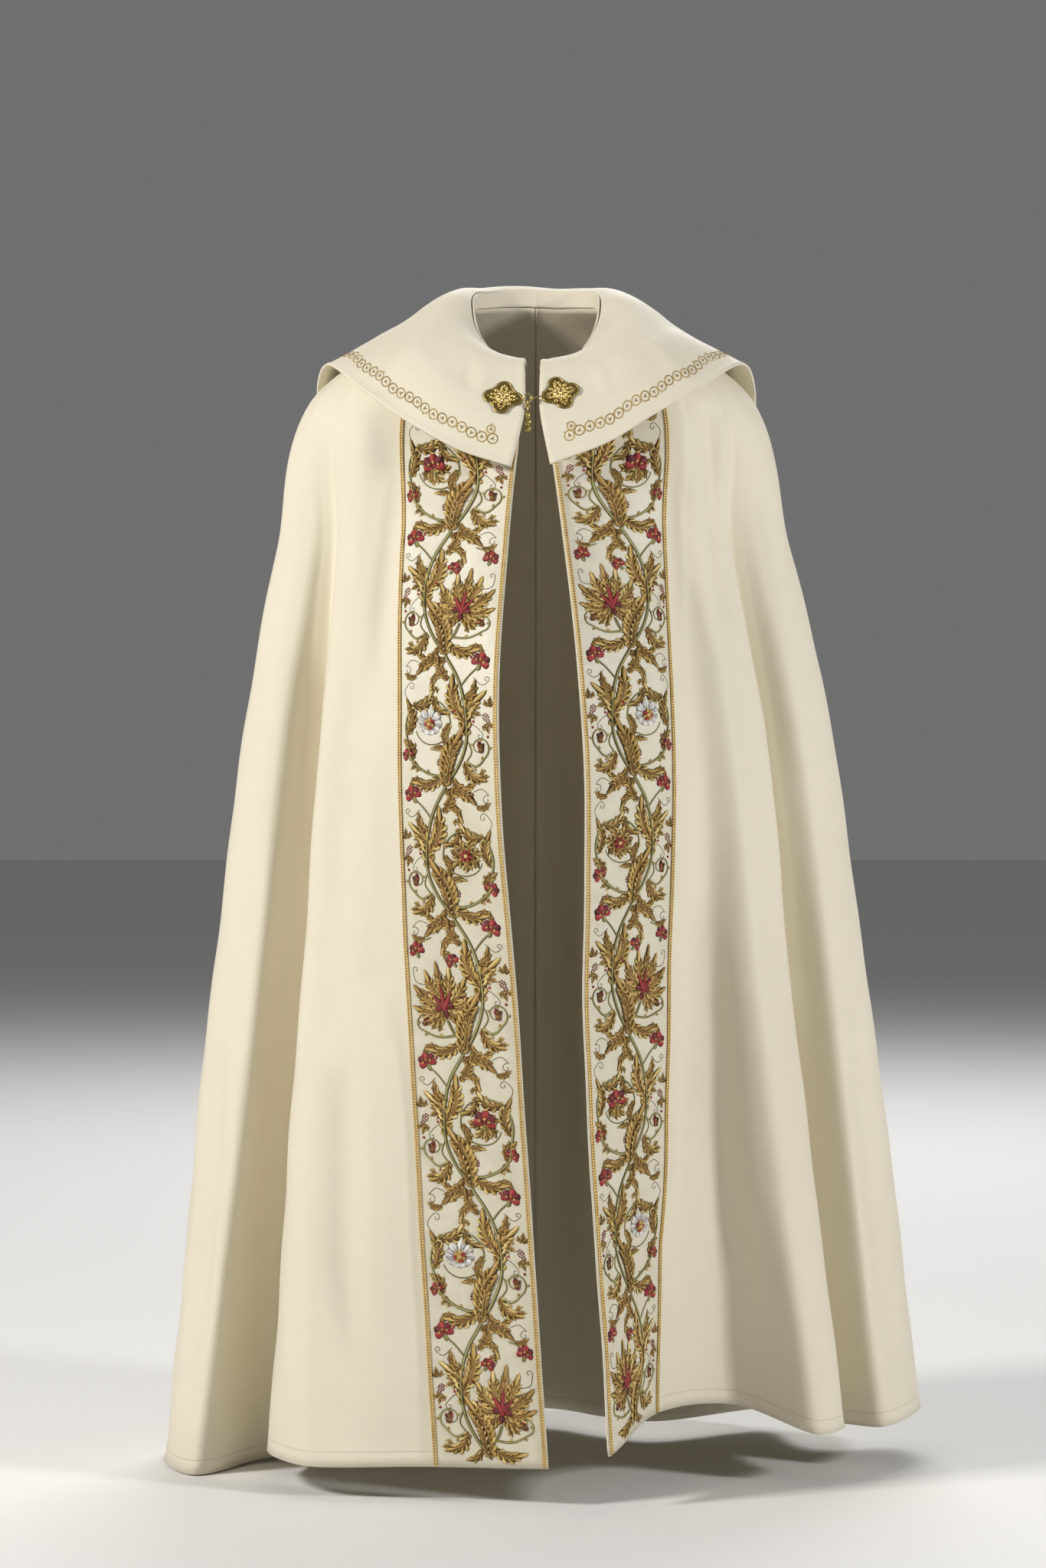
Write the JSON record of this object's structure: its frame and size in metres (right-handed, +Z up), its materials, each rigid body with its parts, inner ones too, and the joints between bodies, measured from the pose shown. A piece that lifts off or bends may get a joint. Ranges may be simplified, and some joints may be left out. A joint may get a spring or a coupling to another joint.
{
  "type": "cope vestment",
  "caption": "Long ivory wool cope, worn open in front, with embroidered bands down both front edges, a broad turned-down collar and a gilt clasp with a hanging tail.",
  "frame": {"origin": "base of the neck, in the middle of the neck opening, where the wearer's shoulders carry the cope", "axes": "+Z up, -Y the front that opens, +X the viewer's right when the front is seen"},
  "size_m": [0.9397, 0.6228, 1.4546],
  "materials": {
    "ivory_wool": "fine wool cloth with a soft sheen",
    "cream_satin": "satin ground with raised thread embroidery",
    "gold_braid": "metallic gold thread",
    "gilt": "bright gilt, stamped in relief"
  },
  "bodies": {
    "cope": {"cope_half_left": "ivory_wool", "cope_half_right": "ivory_wool", "collar": "ivory_wool", "neckband": "ivory_wool", "orphrey_left": "cream_satin", "orphrey_right": "cream_satin", "braid_left_inner": "gold_braid", "braid_left_outer": "gold_braid", "braid_right_inner": "gold_braid", "braid_right_outer": "gold_braid", "clasp_plate_left": "gilt", "clasp_plate_right": "gilt", "clasp_eye": "gilt", "clasp_ring": "gilt", "clasp_hook": "gilt"},
    "clasp_tail": {"chain_link_1": "gilt", "chain_link_2": "gilt", "chain_link_3": "gilt", "clasp_drop": "gilt"}
  },
  "joints": [
    {"name": "tail_swing", "type": "hinge", "parent": "cope", "child": "clasp_tail", "pos_m": [-0.0105, -0.1355, -0.1113], "axis": [-1, 0, 0], "range_deg": [-15, 60]}
  ]
}
